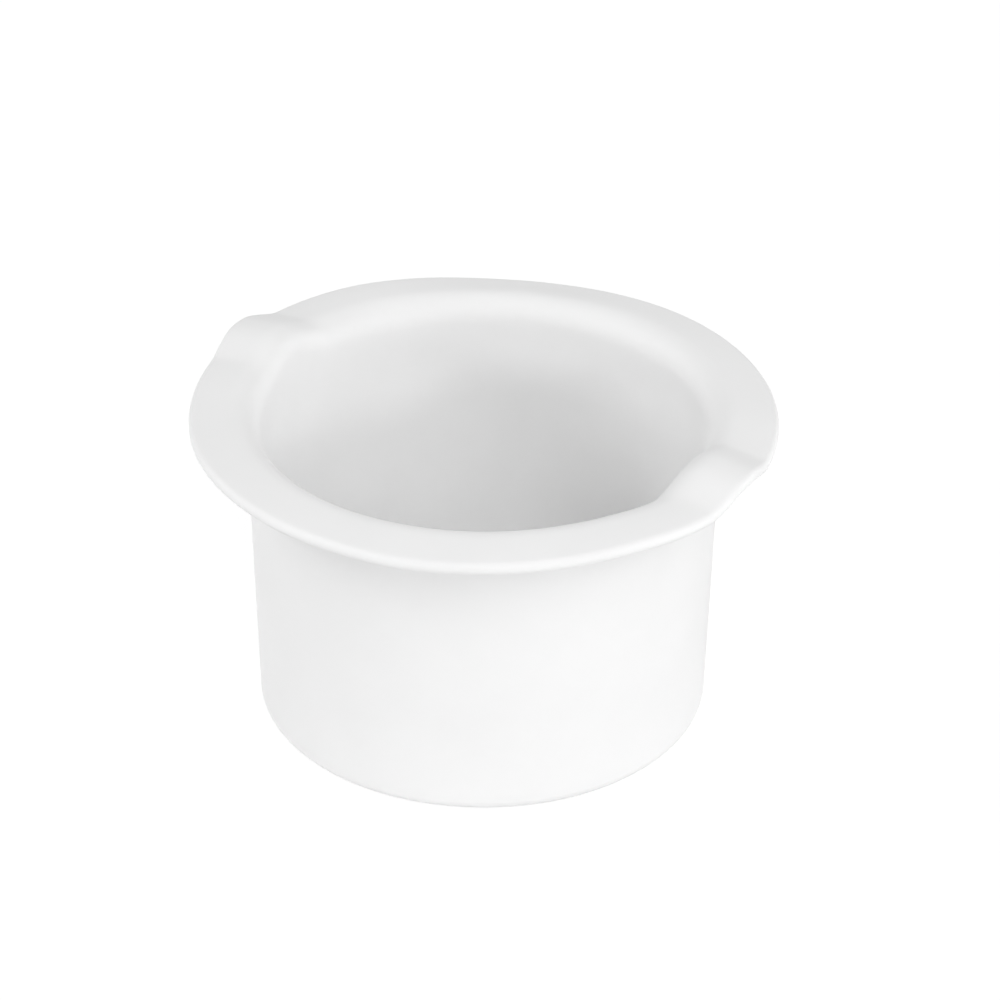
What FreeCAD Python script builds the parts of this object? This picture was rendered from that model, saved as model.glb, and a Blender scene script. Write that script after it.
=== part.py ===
"""Inner pot of a wax heater: one silicone moulding with a cup, a round flange and two finger lifts.

Lengths are in millimetres and angles in degrees. +Z is up, the origin is the middle of the flat underside,
and the two finger lifts lie on the X axis.
"""

import FreeCAD, Part
import math
import os

# Cup
pot_height = 72.4  # underside to the top of the lip
body_diameter = 102.4  # outside of the wall, carried straight up to the height of the lip
wall = 3.0
wall_draft = 1.4  # lean of the wall, outwards going up
floor_thickness = 2.5
foot_radius = 3.0  # outside corner between the wall and the underside
floor_corner_radius = 5.0  # inside corner between the wall and the floor

# Lip and flange
lip_radius = 6.0  # rounding from the inside of the wall to the top of the flange
flange_diameter = 127.0  # across the plain flange, away from the lifts
flange_thickness = 3.0  # the outer edge is a full round
flange_fall = 7.5  # slope of the flange, downwards going out
under_flange_radius = 1.5  # inside corner between the flange and the wall

# Finger lifts, two arches of the flange that face each other
lift_height = 3.6
lift_reach = 0.5  # how far the crest stands out past the round flange
lift_width = 26.5  # foot to foot, along the middle of the flange
lift_crest_width = 1.5  # level stretch at the top, along the middle of the flange
lift_foot_round = 0.24  # share of a slope that its hollow foot takes up
lift_crest_round = 0.38  # share of a slope that its domed crest takes up
lift_slope_steps = 10  # cross-sections up each slope of a lift
lift_places = (0.0, 180.0)  # angles about the pot's axis

# Tolerance
same_place = 1e-6  # two points nearer than this are one

# Directions in the plane of a cross-section, and the angles that a lift takes up
AXIS = FreeCAD.Vector(0, 0, 1)
ORIGIN = FreeCAD.Vector(0, 0, 0)
draft = math.radians(wall_draft)
fall = math.radians(flange_fall)
out_of_wall = FreeCAD.Vector(math.cos(draft), 0, -math.sin(draft))
along_flange = FreeCAD.Vector(math.cos(fall), 0, -math.sin(fall))
into_flange = FreeCAD.Vector(-math.sin(fall), 0, -math.cos(fall))
flange_middle_radius = (flange_diameter + body_diameter) / 4
lift_foot_angle = math.degrees(lift_width / 2 / flange_middle_radius)
lift_crest_angle = math.degrees(lift_crest_width / 2 / flange_middle_radius)


def at(radius, height):
    """A point of the cross-section."""
    return FreeCAD.Vector(radius, 0, height)


def between(first, second):
    """The unit vector halfway between two directions."""
    middle = first + second
    return middle.normalize()


def line(start, end):
    return Part.LineSegment(start, end).toShape()


def arc(centre, radius, start, end):
    """A round from one direction to another, less than half a turn away."""
    points = [centre + direction * radius for direction in (start, between(start, end), end)]
    return Part.Arc(*points).toShape()


def outer_wall_radius(height):
    return body_diameter / 2 - (pot_height - height) * math.tan(draft)


def inner_wall_radius(height):
    return outer_wall_radius(height) - wall


def section(share):
    """Half outline from the rim of the underside over the flange to the rim of the floor.

    The share is 0 on the plain flange and 1 on the crest of a lift.
    """
    foot = at(outer_wall_radius(foot_radius) - foot_radius / math.cos(draft), foot_radius)

    lip_height = pot_height - lip_radius + lift_height * share
    lip = at(inner_wall_radius(lip_height) + lip_radius / math.cos(draft), lip_height)
    flange_start = lip - into_flange * lip_radius

    edge_radius = flange_thickness / 2
    flange_core = flange_start + into_flange * edge_radius
    edge_centre_radius = flange_diameter / 2 + lift_reach * share - edge_radius
    edge = flange_core + along_flange * ((edge_centre_radius - flange_core.x) / math.cos(fall))

    below_edge = edge + into_flange * (edge_radius + under_flange_radius)
    inset = below_edge.x - outer_wall_radius(below_edge.z) - under_flange_radius / math.cos(draft)
    inset /= math.cos(fall) + math.sin(fall) * math.tan(draft)
    corner = below_edge - along_flange * inset

    floor_corner_height = floor_thickness + floor_corner_radius
    floor_corner_inset = floor_corner_radius / math.cos(draft)
    floor_corner = at(inner_wall_radius(floor_corner_height) - floor_corner_inset, floor_corner_height)

    rounds = [
        arc(foot, foot_radius, -AXIS, out_of_wall),
        arc(corner, under_flange_radius, -out_of_wall, -into_flange),
        arc(edge, edge_radius, into_flange, along_flange),
        arc(edge, edge_radius, along_flange, -into_flange),
        arc(lip, lip_radius, -into_flange, -out_of_wall),
        arc(floor_corner, floor_corner_radius, out_of_wall, -AXIS),
    ]
    outline = [rounds[0]]
    for last, following in zip(rounds, rounds[1:]):
        start = last.lastVertex().Point
        end = following.firstVertex().Point
        if not start.isEqual(end, same_place):
            outline.append(line(start, end))
        outline.append(following)
    return Part.Wire(outline)


def turned(shape, angle):
    """A copy of the shape, turned about the pot's axis."""
    copy = shape.copy()
    copy.rotate(ORIGIN, AXIS, angle)
    return copy


def lift_share(angle):
    """Height of a lift at an angle from its middle: 1 on the crest, down an even slope to 0 at the foot."""
    climb = (lift_foot_angle - abs(angle)) / (lift_foot_angle - lift_crest_angle)
    climb = min(max(climb, 0.0), 1.0)
    steepness = 1 / (1 - lift_foot_round / 2 - lift_crest_round / 2)
    if climb < lift_foot_round:
        return steepness * climb**2 / (2 * lift_foot_round)
    if climb > 1 - lift_crest_round:
        return 1 - steepness * (1 - climb) ** 2 / (2 * lift_crest_round)
    return steepness * (climb - lift_foot_round / 2)


def lift_skin(place):
    """The skin of the pot across one lift, from foot to foot."""
    slope_step = (lift_foot_angle - lift_crest_angle) / lift_slope_steps
    slope = [lift_crest_angle + slope_step * step for step in range(lift_slope_steps + 1)]
    angles = [-angle for angle in reversed(slope)] + [0.0] + slope
    return Part.makeLoft([turned(section(lift_share(angle)), place + angle) for angle in angles])


def plain_skin(start, end):
    """The skin of the pot between two lifts."""
    return turned(section(0.0), start).revolve(ORIGIN, AXIS, end - start)


def level_face(skins, height):
    """The flat face that closes the skins at a height where they end."""
    rim = []
    for edge in Part.makeCompound(skins).Edges:
        if all(abs(vertex.Z - height) < same_place for vertex in edge.Vertexes):
            rim.append(edge)
    return Part.Face(Part.Wire(Part.__sortEdges__(rim)))


def make_wax_pot():
    skins = []
    for place, next_place in zip(lift_places, lift_places[1:] + (lift_places[0] + 360,)):
        skins.append(lift_skin(place))
        skins.append(plain_skin(place + lift_foot_angle, next_place - lift_foot_angle))
    underside = level_face(skins, 0.0)
    floor = level_face(skins, floor_thickness)
    skin = Part.makeCompound(skins + [underside, floor])
    skin.sewShape()
    pot = Part.Solid(skin.Shells[0])
    if not pot.isValid():
        raise RuntimeError("the pot isn't one sound solid")
    return pot


os.makedirs("parts", exist_ok=True)
wax_pot = make_wax_pot()
wax_pot.exportStep("parts/wax_pot.step")
box = wax_pot.optimalBoundingBox(False, False)
size = "%.1f x %.1f x %.1f mm" % (box.XLength, box.YLength, box.ZLength)
print("wax_pot %s, %.2f cm3" % (size, wax_pot.Volume / 1000))
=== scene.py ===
"""A wax heater's inner pot, one white silicone moulding, modelled over its solid on a pale studio floor.

Lengths are in metres. +Z is up, the origin is the middle of the flat underside, and the two finger
lifts lie on the X axis.
"""

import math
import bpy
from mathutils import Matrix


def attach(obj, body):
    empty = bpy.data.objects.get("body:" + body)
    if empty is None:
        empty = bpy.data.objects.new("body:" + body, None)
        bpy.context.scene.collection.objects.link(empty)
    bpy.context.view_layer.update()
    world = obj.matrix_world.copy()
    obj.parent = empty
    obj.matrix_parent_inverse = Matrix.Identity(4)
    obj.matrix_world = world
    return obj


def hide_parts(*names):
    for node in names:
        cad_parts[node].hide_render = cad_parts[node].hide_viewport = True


bl_info = {
    "name": "Wax pot",
    "version": (1, 0, 0),
    "blender": (4, 5, 0),
    "location": "3D View > Sidebar > Wax pot",
    "description": "Models a silicone wax pot with two finger lifts and lights it on a studio floor",
    "category": "Object",
}

import bmesh
import bpy
from bpy.props import FloatProperty, FloatVectorProperty, IntProperty, PointerProperty
from mathutils import Quaternion, Vector

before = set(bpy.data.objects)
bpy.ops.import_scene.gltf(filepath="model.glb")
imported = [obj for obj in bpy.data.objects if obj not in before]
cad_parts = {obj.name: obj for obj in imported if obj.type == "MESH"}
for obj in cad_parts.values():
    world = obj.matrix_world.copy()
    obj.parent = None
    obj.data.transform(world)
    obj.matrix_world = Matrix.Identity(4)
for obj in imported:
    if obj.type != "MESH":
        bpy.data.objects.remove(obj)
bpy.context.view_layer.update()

POT_NODE = "wax_pot"
POT_BODY = "root"
SAME_PLACE = 1e-5  # two points nearer than this are one

# How far the soft rim stands out of level, in millimetres, every 15 degrees anticlockwise from +X
EDGE_RISES = (
    (-0.67, -0.34, -0.01, 0.04, 0.13, 0.07)
    + (-0.29, -0.67, -0.50, 0.48, 1.30, 1.43)
    + (1.42, 1.04, 0.29, 0.20, 0.32, 0.20)
    + (0.12, -0.20, -0.09, 0.06, 0.20, -0.60)
)
LIP_RISES = (
    (-0.71, -0.22, 0.03, 0.0, 0.0, 0.0)
    + (0.0, 0.0, 0.0, 0.0, 0.10, 0.65)
    + (1.14, 1.02, 0.15, 0.0, 0.0, 0.0)
    + (0.0, 0.0, 0.0, 0.0, -0.26, -1.09)
)
CURVE_ROOM = 1.5  # times the highest rise, so that the smooth curve stays within a vertex weight of 1

# Values of the noise between which the white and the satin go from one end to the other
CLOUD_RANGE = (0.35, 0.65)
SATIN_RANGE = (0.3, 0.7)
NOISE_ROUGHNESS = 0.5  # strength of each finer layer of the noise beside the one before

# Soft boxes: name, degrees to the right of the camera, degrees above the level, width, height and watts
SOFT_BOXES = (
    ("left_box", -101, 32, 1.2, 0.5, 9.6),
    ("low_left_lamp", -46, 11, 0.15, 0.15, 1.8),
    ("front_box", 15, 45, 1.0, 1.1, 10.4),
    ("low_right_lamp", 34, 14, 0.15, 0.15, 2.35),
    ("right_front_box", 60, 32, 0.5, 0.5, 2.05),
    ("right_box", 105, 22, 1.1, 1.0, 6.6),
)


def length(name, description, default):
    """A length that the sidebar shows in the scene's units."""
    return FloatProperty(
        name=name,
        description=description,
        default=default,
        min=0.0,
        precision=5,
        unit="LENGTH",
    )


def lengths(name, description, millimetres):
    """A row of lengths."""
    return FloatVectorProperty(
        name=name,
        description=description,
        default=[value / 1000 for value in millimetres],
        size=len(millimetres),
        precision=5,
        unit="LENGTH",
    )


def angle(name, description, degrees):
    return FloatProperty(name=name, description=description, default=math.radians(degrees), unit="ROTATION")


def share(name, description, default):
    return FloatProperty(
        name=name,
        description=description,
        default=default,
        min=0.0,
        max=1.0,
        subtype="FACTOR",
    )


def plain(name, description, default):
    return FloatProperty(name=name, description=description, default=default, min=0.0)


def count(name, description, default, least):
    return IntProperty(name=name, description=description, default=default, min=least)


class PotSizes(bpy.types.PropertyGroup):
    """Sizes of the moulding."""

    lip_height: length("Lip height", "From the underside to the top of the plain lip", 0.0718)
    body_diameter: length("Body diameter", "Outside of the wall, carried up to the lip", 0.1024)
    wall: length("Wall", "Thickness of the cup's wall", 0.003)
    wall_draft: angle("Wall draft", "Lean of the wall, outwards going up", 1.4)
    floor: length("Floor", "Thickness of the cup's floor", 0.0025)
    foot_radius: length("Foot radius", "Outside corner between wall and underside", 0.003)
    floor_corner_radius: length("Floor corner radius", "Inside corner between wall and floor", 0.005)
    lip_radius: length("Lip radius", "Rounding from the inside of the wall to the flange", 0.006)
    flange_diameter: length("Flange diameter", "Across the plain flange", 0.12665)
    flange_thickness: length("Flange thickness", "The outer edge is a full round", 0.003)
    flange_fall: angle("Flange fall", "Slope of the flange, downwards going out", 7.5)
    under_flange_radius: length("Under-flange radius", "Inside corner under the flange", 0.0015)

    lift_height: length("Lift height", "How far a finger lift rises", 0.00295)
    lift_reach: length("Lift reach", "How far a crest stands out past the round flange", 0.0004)
    lift_width: length("Lift width", "Foot to foot, across the flange", 0.0265)
    lift_crest_width: length("Lift crest width", "Level stretch at the top of a lift", 0.0015)
    lift_foot_round: share("Lift foot rounding", "Share of a slope that its hollow foot takes up", 0.24)
    lift_crest_round: share("Lift crest rounding", "Share of a slope that its domed crest takes up", 0.38)

    edge_rises: lengths("Edge rises", "How far the flange's soft edge is out of level", EDGE_RISES)
    lip_rises: lengths("Lip rises", "How far the soft lip is out of level", LIP_RISES)
    true_height: length("True height", "Height up to which the wall stays round and level", 0.035)

    turn_steps: count("Turn steps", "Columns of faces around the pot", 400, 24)
    round_steps: count("Round steps", "Faces across each rounding", 9, 2)
    longest_run: length("Longest run", "Longest face up the wall and across the floor", 0.003)


class SiliconeFinish(bpy.types.PropertyGroup):
    """Colour and surface of the silicone."""

    colour: FloatVectorProperty(
        name="Colour",
        description="White of the silicone",
        default=(0.88, 0.88, 0.88),
        size=3,
        min=0.0,
        max=1.0,
        subtype="COLOR",
    )
    cloud_depth: share("Cloud depth", "How much darker the faint clouds in the white are", 0.014)
    cloud_size: length("Cloud size", "Width of a cloud in the white", 0.018)
    satin_low: share("Satin, smoothest", "Roughness where the skin is smoothest", 0.55)
    satin_high: share("Satin, dullest", "Roughness where the skin is dullest", 0.66)
    satin_size: length("Satin size", "Width of a patch of the satin", 0.009)
    ripple_size: length("Ripple size", "Width of a soft hollow in the skin", 0.014)
    ripple_depth: length("Ripple depth", "Depth of a soft hollow in the skin", 0.00002)
    grain_size: length("Grain size", "Width of a grain of the moulded skin", 0.0004)
    grain_depth: length("Grain depth", "Depth of the moulded grain", 0.000006)
    refraction: plain("Refraction", "Index of refraction of silicone", 1.41)


class StudioSettings(bpy.types.PropertyGroup):
    """Camera, floor and light."""

    camera_azimuth: angle("Camera azimuth", "Turn of the camera about the pot, from the front", 29.7)
    camera_elevation: angle("Camera elevation", "Height of the camera above the level", 30.73)
    camera_distance: length("Camera distance", "From the point that the camera looks at", 0.809)
    camera_roll: angle("Camera roll", "Turn of the camera about its own line of sight", 0.469)
    aim_height: length("Aim height", "Height of the point that the camera looks at", 0.0482)
    aim_aside: length("Aim aside", "How far that point lies to the right of the pot's axis", 0.0036)
    lens: plain("Lens", "Focal length in millimetres", 133.67)

    floor_size: length("Floor size", "Side of the square floor", 6.0)
    floor_white: share("Floor white", "White of the floor that the light meets", 0.93)
    floor_glow: share("Floor glow", "White of the floor in the picture that no shadow dims", 0.9)
    floor_shade: share("Floor shade", "White of the floor in the picture that a shadow dims", 0.15)
    surround: plain("Surroundings", "Strength of the even light from all round", 0.23)
    box_strength: plain("Soft box strength", "Strength of all soft boxes together", 1.0)
    box_distance: length("Soft box distance", "From the middle of the pot to each soft box", 1.5)


def edit_mesh(piece):
    return bmesh.from_edit_mesh(piece.data)


def pick(piece, wanted):
    """Selects the vertices of a piece in edit mode that a test names, and only those."""
    bpy.ops.mesh.select_mode(type="VERT")
    bpy.ops.mesh.select_all(action="DESELECT")
    mesh = edit_mesh(piece)
    for vertex in mesh.verts:
        if wanted(vertex.co):
            vertex.select_set(True)
    mesh.select_flush_mode()
    bmesh.update_edit_mesh(piece.data)


def near(radius, height):
    """A test for the corner of the cross-section at a radius and height."""
    corner = Vector((radius, 0, height))
    return lambda place: (place - corner).length < SAME_PLACE


def beside(place, along, distance):
    """The point of the cross-section at a distance from another, along a direction."""
    return (place[0] + along[0] * distance, place[1] + along[1] * distance)


def crossing(start, along, other_start, other_along):
    """Where two straight runs of the cross-section meet."""
    turn = along[0] * other_along[1] - along[1] * other_along[0]
    gap = (other_start[0] - start[0], other_start[1] - start[1])
    far = (gap[0] * other_along[1] - gap[1] * other_along[0]) / turn
    return beside(start, along, far)


def section_corners(sizes):
    """Corners of the half cross-section, from the axis under the cup round to the axis on its floor.

    Each corner is a radius, a height and the radius of its rounding.
    """
    up_wall = (math.sin(sizes.wall_draft), math.cos(sizes.wall_draft))
    out_flange = (math.cos(sizes.flange_fall), -math.sin(sizes.flange_fall))
    into_flange = (-math.sin(sizes.flange_fall), -math.cos(sizes.flange_fall))

    outer_wall = (sizes.body_diameter / 2, sizes.lip_height)
    inner_wall = (outer_wall[0] - sizes.wall, sizes.lip_height)

    lip_middle_radius = inner_wall[0] - sizes.lip_radius * math.tan(sizes.wall_draft)
    lip_middle_radius += sizes.lip_radius / math.cos(sizes.wall_draft)
    lip_middle = (lip_middle_radius, sizes.lip_height - sizes.lip_radius)
    flange_top = beside(lip_middle, into_flange, -sizes.lip_radius)

    edge_radius = sizes.flange_thickness / 2
    core = beside(flange_top, into_flange, edge_radius)
    run = (sizes.flange_diameter / 2 - edge_radius - core[0]) / out_flange[0] + edge_radius
    edge = beside(core, out_flange, run)
    edge_top = beside(edge, into_flange, -edge_radius)
    edge_bottom = beside(edge, into_flange, edge_radius)

    floor = (0.0, sizes.floor)
    ground = (0.0, 0.0)
    level = (1.0, 0.0)
    foot = crossing(ground, level, outer_wall, up_wall)
    under_flange = crossing(outer_wall, up_wall, edge_bottom, out_flange)
    lip = crossing(flange_top, out_flange, inner_wall, up_wall)
    floor_corner = crossing(floor, level, inner_wall, up_wall)
    return [
        (*ground, 0.0),
        (*foot, sizes.foot_radius),
        (*under_flange, sizes.under_flange_radius),
        (*edge_bottom, edge_radius),
        (*edge_top, edge_radius),
        (*lip, sizes.lip_radius),
        (*floor_corner, sizes.floor_corner_radius),
        (*floor, 0.0),
    ]


def draw_section(corners):
    """Draws the half cross-section as a chain of edges, corner by corner."""
    bpy.ops.mesh.select_all(action="SELECT")
    bpy.ops.mesh.merge(type="CENTER")
    for here, following in zip(corners, corners[1:]):
        step = (following[0] - here[0], 0, following[1] - here[1])
        bpy.ops.mesh.extrude_region_move(TRANSFORM_OT_translate={"value": step})


def round_section(piece, corners, steps):
    """Rounds the corners of the cross-section."""
    for last, corner, following in zip(corners, corners[1:], corners[2:]):
        came = Vector((corner[0] - last[0], corner[1] - last[1]))
        goes = Vector((following[0] - corner[0], following[1] - corner[1]))
        setback = corner[2] * math.tan(came.angle(goes) / 2)
        pick(piece, near(corner[0], corner[1]))
        bpy.ops.mesh.bevel(offset=setback, offset_type="OFFSET", segments=steps, affect="VERTICES")


def divide_runs(piece, longest):
    """Cuts the straight runs of the cross-section into even lengths."""
    mesh = edit_mesh(piece)
    long_edges = [edge for edge in mesh.edges if edge.calc_length() > longest]
    runs = [[vertex.co.copy() for vertex in edge.verts] for edge in long_edges]
    for start, end in runs:
        cuts = math.ceil((end - start).length / longest) - 1
        ends = (near(start.x, start.z), near(end.x, end.z))
        pick(piece, lambda place: ends[0](place) or ends[1](place))
        bpy.ops.mesh.subdivide(number_cuts=cuts)


def turn_section(steps):
    """Turns the cross-section once about the axis into a closed skin."""
    bpy.ops.mesh.select_all(action="SELECT")
    bpy.ops.mesh.spin(steps=steps, angle=2 * math.pi, center=(0, 0, 0), axis=(0, 0, 1))
    bpy.ops.mesh.select_all(action="SELECT")
    bpy.ops.mesh.remove_doubles(threshold=SAME_PLACE)
    bpy.ops.mesh.normals_make_consistent(inside=False)


def lift_rise(sizes, aside):
    """Share of a lift's height at a distance from its middle: 1 on the crest, down an even slope to 0."""
    slope = (sizes.lift_width - sizes.lift_crest_width) / 2
    climb = min(max((sizes.lift_width / 2 - abs(aside)) / slope, 0.0), 1.0)
    foot, crest = sizes.lift_foot_round, sizes.lift_crest_round
    steepness = 1 / (1 - foot / 2 - crest / 2)
    if climb < foot:
        return steepness * climb**2 / (2 * foot)
    if climb > 1 - crest:
        return 1 - steepness * (1 - climb) ** 2 / (2 * crest)
    return steepness * (climb - foot / 2)


def rim_share(sizes, height):
    """How far a height follows the rim: 1 from under the flange upwards, fading to 0 down the wall."""
    top = sizes.lip_height - 2 * sizes.lip_radius
    up = min(max((height - sizes.true_height) / (top - sizes.true_height), 0.0), 1.0)
    return up * up * (3 - 2 * up)


def edge_share(sizes, radius):
    """How far a radius follows the flange's outer edge: 0 at the wall and 1 at the edge."""
    wall = sizes.body_diameter / 2
    edge = sizes.flange_diameter / 2 - sizes.flange_thickness / 2
    return min(max((radius - wall) / (edge - wall), 0.0), 1.0)


def rise_at(rises, turn):
    """The rise at an angle about the axis, on a smooth curve through rises at even steps."""
    steps = turn / (2 * math.pi) * len(rises)
    first = math.floor(steps)
    part = steps - first
    before, here, following, beyond = [rises[(first + step) % len(rises)] for step in (-1, 0, 1, 2)]
    slope = (following - before) / 2
    end_slope = (beyond - here) / 2
    square = 3 * (following - here) - 2 * slope - end_slope
    cube = 2 * (here - following) + slope + end_slope
    return here + part * (slope + part * (square + part * cube))


def move_by_weight(piece, name, direction, distance, weight):
    """Moves a piece along an axis, each point by the share of the distance that a rule gives there."""
    group = piece.vertex_groups.new(name=name)
    for vertex in piece.data.vertices:
        value = weight(vertex.co)
        if value > 0:
            group.add([vertex.index], value, "REPLACE")
    move = piece.modifiers.new(name, "DISPLACE")
    move.vertex_group = group.name
    move.direction = direction
    move.mid_level = 0.0
    move.strength = distance
    bpy.ops.object.modifier_apply(modifier=move.name)
    piece.vertex_groups.remove(piece.vertex_groups[name])


def raise_lifts(piece, sizes):
    """Arches the rim up and out into two finger lifts that face each other on the X axis."""

    def rise(place):
        return lift_rise(sizes, place.y) * rim_share(sizes, place.z)

    def reach(place):
        return rise(place) * edge_share(sizes, math.hypot(place.x, place.y))

    def near_reach(place):
        return reach(place) if place.x > 0 else 0.0

    def far_reach(place):
        return reach(place) if place.x < 0 else 0.0

    move_by_weight(piece, "near_reach", "X", sizes.lift_reach, near_reach)
    move_by_weight(piece, "far_reach", "X", -sizes.lift_reach, far_reach)
    move_by_weight(piece, "lifts", "Z", sizes.lift_height, rise)


def warp_rim(piece, sizes):
    """Takes the soft rim out of level, as it hangs when nothing holds it."""
    most = max(abs(rise) for rise in (*sizes.edge_rises, *sizes.lip_rises)) * CURVE_ROOM

    def warp(place):
        turn = math.atan2(place.y, place.x)
        out = edge_share(sizes, math.hypot(place.x, place.y))
        rise = out * rise_at(sizes.edge_rises, turn) + (1 - out) * rise_at(sizes.lip_rises, turn)
        return rise / most * rim_share(sizes, place.z)

    move_by_weight(piece, "rim_high", "Z", most, warp)
    move_by_weight(piece, "rim_low", "Z", -most, lambda place: -warp(place))


def node(tree, kind, **inputs):
    """A shader node with its sockets set."""
    made = tree.nodes.new(kind)
    for name, value in inputs.items():
        made.inputs[name.replace("_", " ")].default_value = value
    return made


def link(tree, source, output, target, socket):
    tree.links.new(source.outputs[output], target.inputs[socket])


def noise(tree, place, size, detail):
    """Noise on the piece's own coordinates, with patches of a size."""
    made = node(tree, "ShaderNodeTexNoise", Scale=1 / size, Detail=detail, Roughness=NOISE_ROUGHNESS)
    link(tree, place, "Object", made, "Vector")
    return made


def white_silicone(finish):
    """Satin white silicone: faint clouds in its white and its satin, soft hollows and a fine grain."""
    material = bpy.data.materials.new("white_silicone_skin")
    material.use_nodes = True
    tree = material.node_tree
    skin = tree.nodes["Principled BSDF"]
    skin.inputs["IOR"].default_value = finish.refraction
    place = tree.nodes.new("ShaderNodeTexCoord")

    white = tree.nodes.new("ShaderNodeValToRGB")
    cloud, clear = white.color_ramp.elements
    cloud.position, clear.position = CLOUD_RANGE
    cloud.color = (*[part * (1 - finish.cloud_depth) for part in finish.colour], 1)
    clear.color = (*finish.colour, 1)
    link(tree, noise(tree, place, finish.cloud_size, detail=3.0), "Fac", white, "Fac")
    link(tree, white, "Color", skin, "Base Color")

    satin = node(
        tree,
        "ShaderNodeMapRange",
        From_Min=SATIN_RANGE[0],
        From_Max=SATIN_RANGE[1],
        To_Min=finish.satin_low,
        To_Max=finish.satin_high,
    )
    link(tree, noise(tree, place, finish.satin_size, detail=2.0), "Fac", satin, "Value")
    link(tree, satin, "Result", skin, "Roughness")

    ripple = node(tree, "ShaderNodeBump", Strength=1.0, Distance=finish.ripple_depth)
    link(tree, noise(tree, place, finish.ripple_size, detail=1.0), "Fac", ripple, "Height")
    grain = node(tree, "ShaderNodeBump", Strength=1.0, Distance=finish.grain_depth)
    link(tree, noise(tree, place, finish.grain_size, detail=2.0), "Fac", grain, "Height")
    link(tree, ripple, "Normal", grain, "Normal")
    link(tree, grain, "Normal", skin, "Normal")
    return material


def seen(tree):
    """1 for what the camera sees, straight, in a gloss or through something clear, and 0 for the light."""
    rays = tree.nodes.new("ShaderNodeLightPath")
    total = None
    for ray in ("Is Camera Ray", "Is Glossy Ray", "Is Transmission Ray"):
        adder = node(tree, "ShaderNodeMath")
        adder.operation = "ADD"
        adder.use_clamp = True
        adder.inputs[1].default_value = 0.0
        link(tree, rays, ray, adder, 0)
        if total:
            link(tree, total, 0, adder, 1)
        total = adder
    return total


def floor_paint(studio):
    """White floor that is white in the picture too, apart from the pot's shadow."""
    material = bpy.data.materials.new("floor_paint")
    material.use_nodes = True
    tree = material.node_tree
    tree.nodes.remove(tree.nodes["Principled BSDF"])
    paint = node(tree, "ShaderNodeBsdfDiffuse", Color=(*[studio.floor_white] * 3, 1))
    glow = node(tree, "ShaderNodeEmission", Color=(1, 1, 1, 1), Strength=studio.floor_glow)
    shade = node(tree, "ShaderNodeBsdfDiffuse", Color=(*[studio.floor_shade] * 3, 1))
    picture = tree.nodes.new("ShaderNodeAddShader")
    link(tree, glow, 0, picture, 0)
    link(tree, shade, 0, picture, 1)
    choice = tree.nodes.new("ShaderNodeMixShader")
    link(tree, seen(tree), 0, choice, 0)
    link(tree, paint, 0, choice, 1)
    link(tree, picture, 0, choice, 2)
    link(tree, choice, 0, tree.nodes["Material Output"], "Surface")
    return material


def surroundings(studio):
    """Even light from all round, white where the camera sees past the floor."""
    world = bpy.data.worlds.new("studio_surroundings")
    world.use_nodes = True
    tree = world.node_tree
    light = tree.nodes["Background"]
    light.inputs["Color"].default_value = (1, 1, 1, 1)
    light.inputs["Strength"].default_value = studio.surround
    backdrop = node(tree, "ShaderNodeBackground", Color=(1, 1, 1, 1), Strength=1.0)
    choice = tree.nodes.new("ShaderNodeMixShader")
    link(tree, seen(tree), 0, choice, 0)
    link(tree, light, 0, choice, 1)
    link(tree, backdrop, 0, choice, 2)
    link(tree, choice, 0, tree.nodes["World Output"], "Surface")
    return world


def from_camera_side(studio, turn, rise):
    """The direction from the pot at a turn to the right of the camera and a rise above the level."""
    level = Quaternion((0, 0, 1), studio.camera_azimuth + turn) @ Vector((0, -1, 0))
    return level * math.cos(rise) + Vector((0, 0, math.sin(rise)))


def facing(direction):
    """The turn of a camera or lamp that looks back along a direction."""
    return (-direction).to_track_quat("-Z", "Y")


def add_camera(context, studio):
    """The camera, which looks a little to the right of the pot's axis."""
    back = from_camera_side(studio, 0.0, studio.camera_elevation)
    right = Quaternion((0, 0, 1), studio.camera_azimuth) @ Vector((1, 0, 0))
    aim = right * studio.aim_aside + Vector((0, 0, studio.aim_height))
    bpy.ops.object.camera_add(location=aim + back * studio.camera_distance)
    camera = context.object
    camera.data.lens = studio.lens
    camera.rotation_mode = "QUATERNION"
    camera.rotation_quaternion = facing(back) @ Quaternion((0, 0, 1), studio.camera_roll)
    context.scene.camera = camera


def add_soft_box(context, studio, name, turn, rise, width, height, watts):
    """A soft box that faces the pot, out of the camera's sight."""
    direction = from_camera_side(studio, math.radians(turn), math.radians(rise))
    middle = Vector((0, 0, studio.aim_height))
    bpy.ops.object.light_add(type="AREA", location=middle + direction * studio.box_distance)
    box = context.object
    box.name = name
    box.data.shape = "RECTANGLE"
    box.data.size = width
    box.data.size_y = height
    box.data.energy = watts * studio.box_strength
    box.rotation_mode = "QUATERNION"
    box.rotation_quaternion = facing(direction)
    box.visible_camera = False


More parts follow.
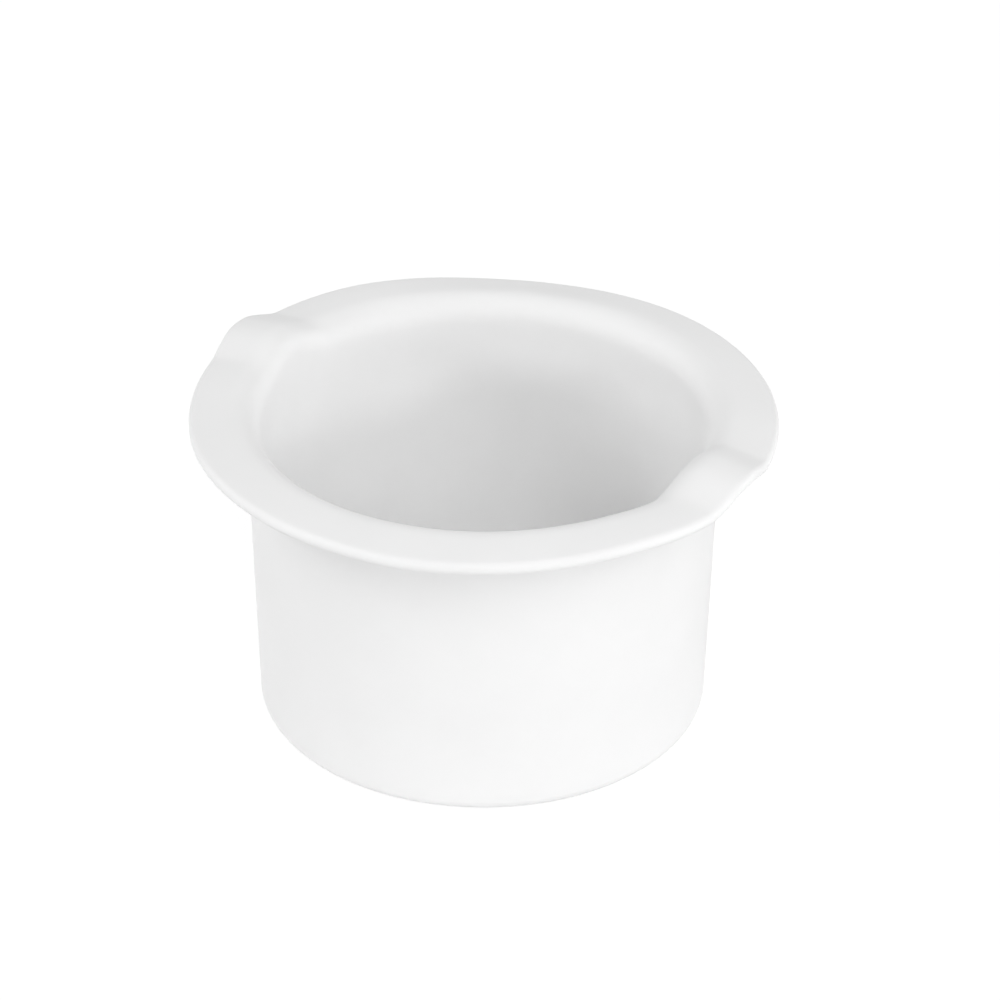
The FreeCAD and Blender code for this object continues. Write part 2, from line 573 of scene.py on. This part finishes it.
class WAXPOT_OT_moulding(bpy.types.Operator):
    """Model the pot as one turned moulding with two finger lifts"""

    bl_idname = "wax_pot.moulding"
    bl_label = "Moulding"
    bl_options = {"REGISTER", "UNDO"}

    def execute(self, context):
        sizes = context.scene.pot_sizes
        bpy.ops.object.select_all(action="DESELECT")
        bpy.ops.mesh.primitive_plane_add(size=sizes.wall)
        pot = context.object
        pot.name = "pot_moulding"
        pot.data.name = "pot_moulding"

        bpy.ops.object.mode_set(mode="EDIT")
        corners = section_corners(sizes)
        draw_section(corners)
        round_section(pot, corners, sizes.round_steps)
        divide_runs(pot, sizes.longest_run)
        turn_section(sizes.turn_steps)
        bpy.ops.object.mode_set(mode="OBJECT")

        raise_lifts(pot, sizes)
        warp_rim(pot, sizes)
        bpy.ops.object.shade_smooth()
        pot.data.materials.append(white_silicone(context.scene.silicone_finish))

        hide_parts(POT_NODE)
        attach(pot, POT_BODY)
        return {"FINISHED"}


class WAXPOT_OT_studio(bpy.types.Operator):
    """Set the pot on a pale floor, with soft light and a camera"""

    bl_idname = "wax_pot.studio"
    bl_label = "Studio"
    bl_options = {"REGISTER", "UNDO"}

    def execute(self, context):
        studio = context.scene.studio_settings
        bpy.ops.object.select_all(action="DESELECT")
        bpy.ops.mesh.primitive_plane_add(size=studio.floor_size)
        floor = context.object
        floor.name = "studio_floor"
        floor.data.materials.append(floor_paint(studio))

        add_camera(context, studio)
        for soft_box in SOFT_BOXES:
            add_soft_box(context, studio, *soft_box)
        context.scene.world = surroundings(studio)
        context.scene.view_settings.view_transform = "Standard"
        return {"FINISHED"}


class WAXPOT_PT_sidebar(bpy.types.Panel):
    """The pot's sizes, finish and studio"""

    bl_idname = "WAXPOT_PT_sidebar"
    bl_label = "Wax pot"
    bl_space_type = "VIEW_3D"
    bl_region_type = "UI"
    bl_category = "Wax pot"

    def draw(self, context):
        for group, operator in (
            (context.scene.pot_sizes, WAXPOT_OT_moulding),
            (context.scene.silicone_finish, None),
            (context.scene.studio_settings, WAXPOT_OT_studio),
        ):
            box = self.layout.box()
            for name in group.bl_rna.properties.keys():
                if name not in ("rna_type", "name"):
                    box.prop(group, name)
            if operator:
                box.operator(operator.bl_idname)


CLASSES = (
    PotSizes,
    SiliconeFinish,
    StudioSettings,
    WAXPOT_OT_moulding,
    WAXPOT_OT_studio,
    WAXPOT_PT_sidebar,
)


def register():
    for made in CLASSES:
        bpy.utils.register_class(made)
    bpy.types.Scene.pot_sizes = PointerProperty(type=PotSizes)
    bpy.types.Scene.silicone_finish = PointerProperty(type=SiliconeFinish)
    bpy.types.Scene.studio_settings = PointerProperty(type=StudioSettings)


def unregister():
    del bpy.types.Scene.pot_sizes
    del bpy.types.Scene.silicone_finish
    del bpy.types.Scene.studio_settings
    for made in reversed(CLASSES):
        bpy.utils.unregister_class(made)


def main():
    register()
    bpy.ops.wax_pot.moulding()
    bpy.ops.wax_pot.studio()


if __name__ == "__main__":
    main()
